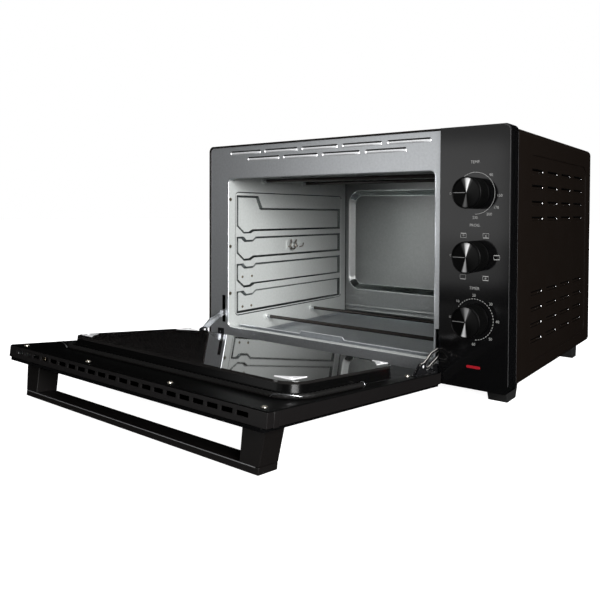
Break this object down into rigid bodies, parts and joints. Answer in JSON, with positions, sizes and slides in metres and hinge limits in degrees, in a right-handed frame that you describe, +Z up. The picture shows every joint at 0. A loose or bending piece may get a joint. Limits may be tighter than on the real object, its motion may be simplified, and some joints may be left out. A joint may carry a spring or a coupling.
{
  "type": "rotisserie oven",
  "caption": "Countertop rotisserie oven with an embossed steel cavity, drop-down glass door on check arms, bar handle, and a side control fascia with rotary knobs.",
  "frame": {"origin": "middle of the base of the whole part's bounding box with the door open, on the surface it stands on", "axes": "+X to the right as seen from the front, towards the control fascia; +Y to the back, away from the open door; +Z up"},
  "size_m": [0.601, 0.7812, 0.385],
  "materials": {
    "black_enamel": "satin black stoved enamel with a fine grain",
    "pan_enamel": "smooth satin black enamel",
    "galvanised_steel": "matt zinc-coated sheet, faint spangle",
    "floor_steel": "matt zinc-coated sheet",
    "inner_steel": "plain folded sheet",
    "arm_steel": "polished stamped sheet",
    "spring_steel": "bright drawn wire",
    "heater_sheath": "dark oxidised tube",
    "steatite": "unglazed ceramic",
    "cast_fitting": "dull stamped steel",
    "copper_bulb": "dull copper-coloured tube",
    "fascia_black": "mirror-gloss black",
    "lens_red": "translucent red",
    "phenolic": "cream heat-resistant moulding",
    "knob_black": "semi-gloss black",
    "knob_face": "dark spun metal",
    "foot_black": "matt black",
    "screw_zinc": "bright plated",
    "screw_dull": "dull plated",
    "pan_screw": "dark yellow zinc plate",
    "door_glass": "dark tinted toughened glass",
    "window_glass": "grey tinted toughened glass",
    "clip_chrome": "polished",
    "gasket_black": "woven black glass-fibre sleeve",
    "handle_black": "satin black"
  },
  "bodies": {
    "oven": {"outer_wrap": "black_enamel", "rear_cover": "black_enamel", "bottom_plate": "inner_steel", "front_frame": "galvanised_steel", "cavity_left_wall": "galvanised_steel", "cavity_right_wall": "galvanised_steel", "cavity_roof": "galvanised_steel", "cavity_floor": "floor_steel", "cavity_back": "galvanised_steel", "upper_heaters": "heater_sheath", "lower_heaters": "heater_sheath", "heater_bushes": "steatite", "spit_support": "cast_fitting", "spit_motor": "inner_steel", "motor_bracket": "inner_steel", "sensor_bulb": "copper_bulb", "control_fascia": "fascia_black", "thermostat": "phenolic", "mode_switch": "phenolic", "timer_unit": "inner_steel", "terminal_block": "phenolic", "lamp_lens": "lens_red", "lamp_holder": "phenolic", "feet": "foot_black", "rear_spacers": "foot_black", "cord_gland": "foot_black", "case_screws": "screw_dull", "flange_screws": "screw_dull", "hinge_tongues": "arm_steel", "spring_posts": "inner_steel", "check_springs": "spring_steel"},
    "door": {"outer_glass": "door_glass", "inner_pan": "pan_enamel", "inner_glass": "window_glass", "glass_clips": "clip_chrome", "door_gasket": "gasket_black", "door_top_rail": "pan_enamel", "door_bottom_rail": "inner_steel", "door_side_rails": "inner_steel", "pan_screws": "pan_screw", "handle_posts": "handle_black", "handle_bar": "handle_black", "handle_screws": "screw_dull", "hinge_knuckles": "arm_steel", "hinge_pins": "screw_zinc", "arm_brackets": "arm_steel", "arm_pins": "screw_zinc"},
    "left_check_arm": {"check_arm_left": "arm_steel"},
    "right_check_arm": {"check_arm_right": "arm_steel"},
    "temperature_control": {"temperature_knob": "knob_black", "temperature_cap": "knob_face", "temperature_spindle": "inner_steel"},
    "mode_control": {"mode_knob": "knob_black", "mode_cap": "knob_face", "mode_spindle": "inner_steel"},
    "timer_control": {"timer_knob": "knob_black", "timer_cap": "knob_face", "timer_spindle": "inner_steel"},
    "spit_drive": {"spit_socket": "cast_fitting"},
    "crumb_tray_body": {"crumb_tray": "floor_steel"}
  },
  "joints": [
    {"name": "door_hinge", "type": "hinge", "parent": "oven", "child": "door", "pos_m": [-0.03635, -0.04793, 0.0315], "axis": [-1, 0, 0], "range_deg": [0, 83.65]},
    {"name": "left_check_arm_pivot", "type": "hinge", "parent": "door", "child": "left_check_arm", "pos_m": [-0.2627, -0.08027, 0.05141], "axis": [-1, 0, 0], "range_deg": [-83.65, 0], "deforming": ["check_springs"]},
    {"name": "right_check_arm_pivot", "type": "hinge", "parent": "door", "child": "right_check_arm", "pos_m": [0.19, -0.08027, 0.05141], "axis": [-1, 0, 0], "range_deg": [-83.65, 0]},
    {"name": "temperature_turn", "type": "hinge", "parent": "oven", "child": "temperature_control", "pos_m": [0.2485, -0.04444, 0.2916], "axis": [0, 1, 0], "range_deg": [0, 270]},
    {"name": "mode_turn", "type": "hinge", "parent": "oven", "child": "mode_control", "pos_m": [0.2485, -0.04444, 0.2042], "axis": [0, 1, 0], "range_deg": [0, 315]},
    {"name": "timer_turn", "type": "hinge", "parent": "oven", "child": "timer_control", "pos_m": [0.2485, -0.04444, 0.1168], "axis": [0, 1, 0], "range_deg": [0, 270]},
    {"name": "spit_turn", "type": "hinge", "parent": "oven", "child": "spit_drive", "pos_m": [0.1795, 0.13756, 0.195], "axis": [1, 0, 0], "continuous": true},
    {"name": "crumb_tray_lift", "type": "hinge", "parent": "oven", "child": "crumb_tray_body", "pos_m": [-0.0335, 0.31556, 0.028], "axis": [-1, 0, 0], "range_deg": [0, 3.4]}
  ],
  "couplings": [
    {"joint": "left_check_arm_pivot", "follows": "door_hinge", "ratio": -1},
    {"joint": "right_check_arm_pivot", "follows": "door_hinge", "ratio": -1}
  ]
}
